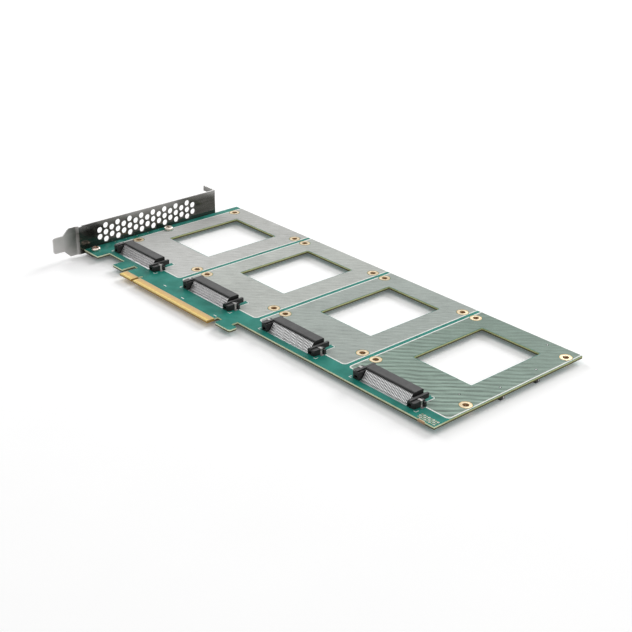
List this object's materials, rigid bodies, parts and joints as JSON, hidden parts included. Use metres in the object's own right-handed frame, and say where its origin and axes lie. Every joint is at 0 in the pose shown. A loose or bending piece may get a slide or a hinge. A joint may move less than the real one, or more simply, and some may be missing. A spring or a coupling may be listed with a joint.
{
  "type": "drive carrier expansion card",
  "caption": "Full-height, full-length expansion card with a row of 2.5 inch drive bays, right-angle drive connectors and a vented bracket.",
  "frame": {"origin": "under the middle of the card's box, on the surface that it lies on", "axes": "+X from the bracket along the card, +Y from the edge connector to the far edge, +Z out of the component side"},
  "size_m": [0.3014, 0.1396, 0.0197],
  "materials": {
    "board_laminate": "green solder mask, satin",
    "field_print": "fine light hatch over green",
    "white_print": "matt ink",
    "pad_gold": "gold plated",
    "contact_gold": "hard gold",
    "bracket_steel": "dark bright nickel",
    "screw_copper": "bright",
    "screw_nickel": "bright",
    "connector_moulding": "fine grain",
    "lead_tin": "matt tin",
    "clip_steel": "satin",
    "chip_moulding": "matt",
    "capacitor_ceramic": "matt",
    "indicator_moulding": "satin"
  },
  "bodies": {
    "root": {"bay_1_field": "field_print", "bay_1_outline": "white_print", "bay_1_screw_pads": "pad_gold", "bay_2_field": "field_print", "bay_2_outline": "white_print", "bay_2_screw_pads": "pad_gold", "bay_3_field": "field_print", "bay_3_outline": "white_print", "bay_3_screw_pads": "pad_gold", "bay_4_field": "field_print", "bay_4_outline": "white_print", "bay_4_screw_pads": "pad_gold", "bracket": "bracket_steel", "bracket_screw_far": "screw_nickel", "bracket_screw_near": "screw_copper", "bulk_capacitors": "capacitor_ceramic", "bypass_capacitors": "capacitor_ceramic", "circuit_board": "board_laminate", "clock_buffer": "chip_moulding", "connector_1_hold_downs": "clip_steel", "connector_1_housing": "connector_moulding", "connector_1_lower_leads": "lead_tin", "connector_1_upper_leads": "lead_tin", "connector_2_hold_downs": "clip_steel", "connector_2_housing": "connector_moulding", "connector_2_lower_leads": "lead_tin", "connector_2_upper_leads": "lead_tin", "connector_3_hold_downs": "clip_steel", "connector_3_housing": "connector_moulding", "connector_3_lower_leads": "lead_tin", "connector_3_upper_leads": "lead_tin", "connector_4_hold_downs": "clip_steel", "connector_4_housing": "connector_moulding", "connector_4_lower_leads": "lead_tin", "connector_4_upper_leads": "lead_tin", "edge_contacts_lower": "contact_gold", "edge_contacts_upper": "contact_gold", "end_indicator_bodies": "indicator_moulding", "end_indicator_terminals": "lead_tin", "strip_marks": "white_print", "test_pads": "pad_gold"}
  },
  "joints": []
}
